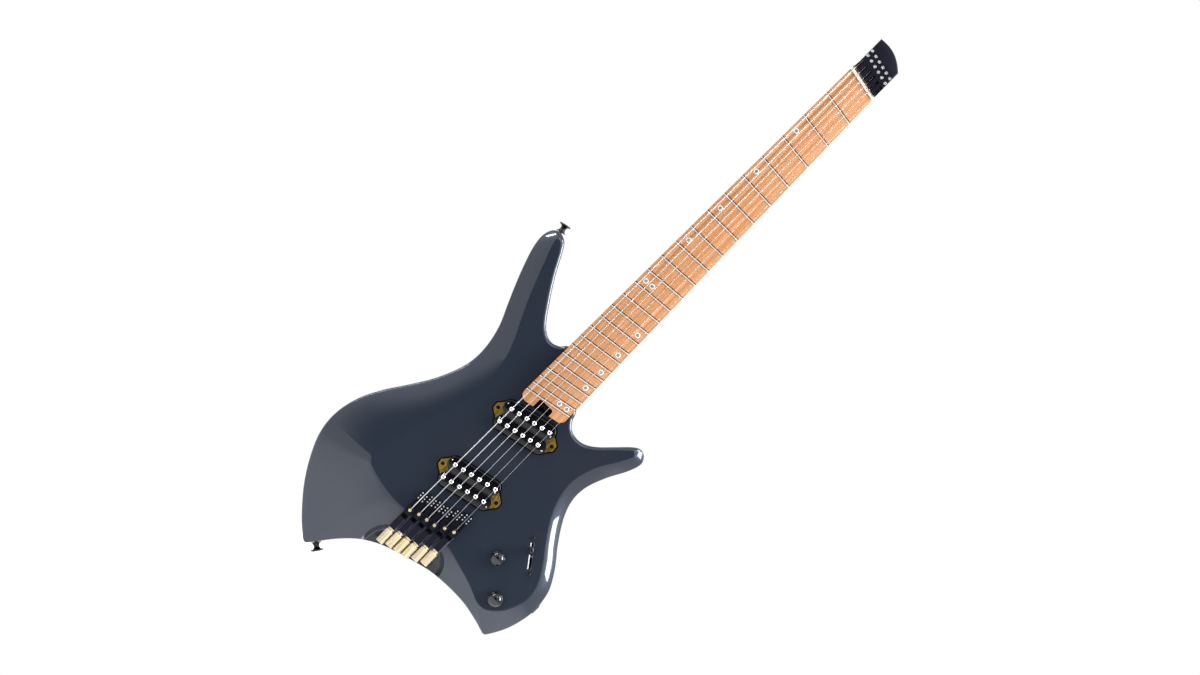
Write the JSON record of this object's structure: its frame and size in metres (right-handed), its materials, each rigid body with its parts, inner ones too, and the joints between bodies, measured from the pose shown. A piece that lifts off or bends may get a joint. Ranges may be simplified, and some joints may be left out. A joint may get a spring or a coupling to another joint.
{
  "type": "headless electric guitar",
  "caption": "Solid-body electric guitar with no headstock, slanted frets and pickups, separate bridge units with tuning knobs at the tail, and a head block that clamps the strings.",
  "frame": {"origin": "on the flat back of the body, on the neck's centre line, between the two pickups", "axes": "+Z along the neck towards the head block, +Y out of the back, so the strings face -Y, and -X towards the long horn and the thickest string"},
  "size_m": [0.3114, 0.0578, 0.85],
  "materials": {
    "graphite_lacquer": "hardwood slab under glossy metallic graphite lacquer",
    "roasted_maple": "roasted maple, satin oil",
    "roasted_board": "roasted maple, satin oil, steel frets",
    "bone": "white, cut and polished",
    "black_alloy": "black anodised, fine satin",
    "bright_steel": "bright nickel",
    "champagne_alloy": "champagne anodised, satin",
    "black_plastic": "black, moulded",
    "brass": "raw rolled sheet",
    "black_chrome": "black chrome, polished",
    "zinc": "zinc plated, dull"
  },
  "bodies": {
    "guitar": {"body": "graphite_lacquer", "neck": "roasted_maple", "fingerboard": "roasted_board", "nut": "bone", "head_block": "black_alloy", "truss_rod": "zinc", "string_1": "bright_steel", "string_2": "bright_steel", "string_3": "bright_steel", "string_4": "bright_steel", "string_5": "bright_steel", "string_6": "bright_steel", "bridge_base_1": "black_alloy", "bridge_base_2": "black_alloy", "bridge_base_3": "black_alloy", "bridge_base_4": "black_alloy", "bridge_base_5": "black_alloy", "bridge_base_6": "black_alloy", "neck_pickup_front_coil": "black_plastic", "neck_pickup_rear_coil": "black_plastic", "neck_pickup_base_plate": "brass", "bridge_pickup_front_coil": "black_plastic", "bridge_pickup_rear_coil": "black_plastic", "bridge_pickup_base_plate": "brass", "volume_potentiometer": "zinc", "tone_potentiometer": "zinc", "selector_frame": "zinc", "control_cover": "black_plastic", "output_jack": "black_alloy", "strap_button_horn": "black_alloy", "strap_button_tail": "black_alloy", "neck_plate": "black_alloy"},
    "tuner_1": {"tuner_knob_1": "champagne_alloy"},
    "carriage_1": {"string_carriage_1": "black_alloy"},
    "saddle_block_1": {"saddle_1": "black_alloy"},
    "lock_screw_1": {"string_lock_screw_1": "bright_steel"},
    "tuner_2": {"tuner_knob_2": "champagne_alloy"},
    "carriage_2": {"string_carriage_2": "black_alloy"},
    "saddle_block_2": {"saddle_2": "black_alloy"},
    "lock_screw_2": {"string_lock_screw_2": "bright_steel"},
    "tuner_3": {"tuner_knob_3": "champagne_alloy"},
    "carriage_3": {"string_carriage_3": "black_alloy"},
    "saddle_block_3": {"saddle_3": "black_alloy"},
    "lock_screw_3": {"string_lock_screw_3": "bright_steel"},
    "tuner_4": {"tuner_knob_4": "champagne_alloy"},
    "carriage_4": {"string_carriage_4": "black_alloy"},
    "saddle_block_4": {"saddle_4": "black_alloy"},
    "lock_screw_4": {"string_lock_screw_4": "bright_steel"},
    "tuner_5": {"tuner_knob_5": "champagne_alloy"},
    "carriage_5": {"string_carriage_5": "black_alloy"},
    "saddle_block_5": {"saddle_5": "black_alloy"},
    "lock_screw_5": {"string_lock_screw_5": "bright_steel"},
    "tuner_6": {"tuner_knob_6": "champagne_alloy"},
    "carriage_6": {"string_carriage_6": "black_alloy"},
    "saddle_block_6": {"saddle_6": "black_alloy"},
    "lock_screw_6": {"string_lock_screw_6": "bright_steel"},
    "volume_control": {"volume_knob": "black_chrome"},
    "tone_control": {"tone_knob": "black_chrome"},
    "selector": {"selector_lever": "black_plastic"},
    "truss_wheel": {"truss_rod_wheel": "bright_steel"}
  },
  "joints": [
    {"name": "tuner_turn_1", "type": "hinge", "parent": "guitar", "child": "tuner_1", "pos_m": [-0.0255, -0.0485, -0.15196], "axis": [0, 0, 1], "range_deg": [-1450, 1450]},
    {"name": "carriage_slide_1", "type": "slide", "parent": "guitar", "child": "carriage_1", "axis": [0, 0, 1], "range_m": [-0.0028, 0.0028], "deforming": ["string_1"]},
    {"name": "saddle_slide_1", "type": "slide", "parent": "guitar", "child": "saddle_block_1", "axis": [0, 0, 1], "range_m": [-0.001, 0.0015]},
    {"name": "lock_screw_turn_1", "type": "hinge", "parent": "guitar", "child": "lock_screw_1", "pos_m": [-0.01721, -0.0573, 0.59243], "axis": [0, -1, 0], "range_deg": [0, 270]},
    {"name": "tuner_turn_2", "type": "hinge", "parent": "guitar", "child": "tuner_2", "pos_m": [-0.0151, -0.0485, -0.14819], "axis": [0, 0, 1], "range_deg": [-1450, 1450]},
    {"name": "carriage_slide_2", "type": "slide", "parent": "guitar", "child": "carriage_2", "axis": [0, 0, 1], "range_m": [-0.0028, 0.0028], "deforming": ["string_2"]},
    {"name": "saddle_slide_2", "type": "slide", "parent": "guitar", "child": "saddle_block_2", "axis": [0, 0, 1], "range_m": [-0.001, 0.0015]},
    {"name": "lock_screw_turn_2", "type": "hinge", "parent": "guitar", "child": "lock_screw_2", "pos_m": [-0.01013, -0.0573, 0.59071], "axis": [0, -1, 0], "range_deg": [0, 270]},
    {"name": "tuner_turn_3", "type": "hinge", "parent": "guitar", "child": "tuner_3", "pos_m": [-0.0047, -0.0485, -0.14642], "axis": [0, 0, 1], "range_deg": [-1450, 1450]},
    {"name": "carriage_slide_3", "type": "slide", "parent": "guitar", "child": "carriage_3", "axis": [0, 0, 1], "range_m": [-0.0028, 0.0028], "deforming": ["string_3"]},
    {"name": "saddle_slide_3", "type": "slide", "parent": "guitar", "child": "saddle_block_3", "axis": [0, 0, 1], "range_m": [-0.001, 0.0015]},
    {"name": "lock_screw_turn_3", "type": "hinge", "parent": "guitar", "child": "lock_screw_3", "pos_m": [-0.00304, -0.0573, 0.58899], "axis": [0, -1, 0], "range_deg": [0, 270]},
    {"name": "tuner_turn_4", "type": "hinge", "parent": "guitar", "child": "tuner_4", "pos_m": [0.0057, -0.0485, -0.14486], "axis": [0, 0, 1], "range_deg": [-1450, 1450]},
    {"name": "carriage_slide_4", "type": "slide", "parent": "guitar", "child": "carriage_4", "axis": [0, 0, 1], "range_m": [-0.0028, 0.0028], "deforming": ["string_4"]},
    {"name": "saddle_slide_4", "type": "slide", "parent": "guitar", "child": "saddle_block_4", "axis": [0, 0, 1], "range_m": [-0.001, 0.0015]},
    {"name": "lock_screw_turn_4", "type": "hinge", "parent": "guitar", "child": "lock_screw_4", "pos_m": [0.00404, -0.0573, 0.58727], "axis": [0, -1, 0], "range_deg": [0, 270]},
    {"name": "tuner_turn_5", "type": "hinge", "parent": "guitar", "child": "tuner_5", "pos_m": [0.0161, -0.0485, -0.13919], "axis": [0, 0, 1], "range_deg": [-1450, 1450]},
    {"name": "carriage_slide_5", "type": "slide", "parent": "guitar", "child": "carriage_5", "axis": [0, 0, 1], "range_m": [-0.0028, 0.0028], "deforming": ["string_5"]},
    {"name": "saddle_slide_5", "type": "slide", "parent": "guitar", "child": "saddle_block_5", "axis": [0, 0, 1], "range_m": [-0.001, 0.0015]},
    {"name": "lock_screw_turn_5", "type": "hinge", "parent": "guitar", "child": "lock_screw_5", "pos_m": [0.01113, -0.0573, 0.58556], "axis": [0, -1, 0], "range_deg": [0, 270]},
    {"name": "tuner_turn_6", "type": "hinge", "parent": "guitar", "child": "tuner_6", "pos_m": [0.0265, -0.0485, -0.13522], "axis": [0, 0, 1], "range_deg": [-1450, 1450]},
    {"name": "carriage_slide_6", "type": "slide", "parent": "guitar", "child": "carriage_6", "axis": [0, 0, 1], "range_m": [-0.0028, 0.0028], "deforming": ["string_6"]},
    {"name": "saddle_slide_6", "type": "slide", "parent": "guitar", "child": "saddle_block_6", "axis": [0, 0, 1], "range_m": [-0.001, 0.0015]},
    {"name": "lock_screw_turn_6", "type": "hinge", "parent": "guitar", "child": "lock_screw_6", "pos_m": [0.01821, -0.0573, 0.58384], "axis": [0, -1, 0], "range_deg": [0, 270]},
    {"name": "volume_turn", "type": "hinge", "parent": "guitar", "child": "volume_control", "pos_m": [0.08149, -0.0424, -0.0935], "axis": [0, -1, 0], "range_deg": [-150, 150]},
    {"name": "tone_turn", "type": "hinge", "parent": "guitar", "child": "tone_control", "pos_m": [0.11151, -0.0424, -0.12748], "axis": [0, -1, 0], "range_deg": [-150, 150]},
    {"name": "selector_swing", "type": "hinge", "parent": "guitar", "child": "selector", "pos_m": [0.106, -0.028, -0.0657], "axis": [0.8, 0, 0.6], "range_deg": [0, 34]},
    {"name": "truss_wheel_turn", "type": "hinge", "parent": "guitar", "child": "truss_wheel", "pos_m": [0.001, -0.0415, 0.0606], "axis": [0, 0, 1], "range_deg": [-360, 360]}
  ],
  "couplings": [
    {"joint": "tuner_turn_1", "follows": "carriage_slide_1", "rad_per_m": -8976},
    {"joint": "tuner_turn_2", "follows": "carriage_slide_2", "rad_per_m": -8976},
    {"joint": "tuner_turn_3", "follows": "carriage_slide_3", "rad_per_m": -8976},
    {"joint": "tuner_turn_4", "follows": "carriage_slide_4", "rad_per_m": -8976},
    {"joint": "tuner_turn_5", "follows": "carriage_slide_5", "rad_per_m": -8976},
    {"joint": "tuner_turn_6", "follows": "carriage_slide_6", "rad_per_m": -8976}
  ]
}
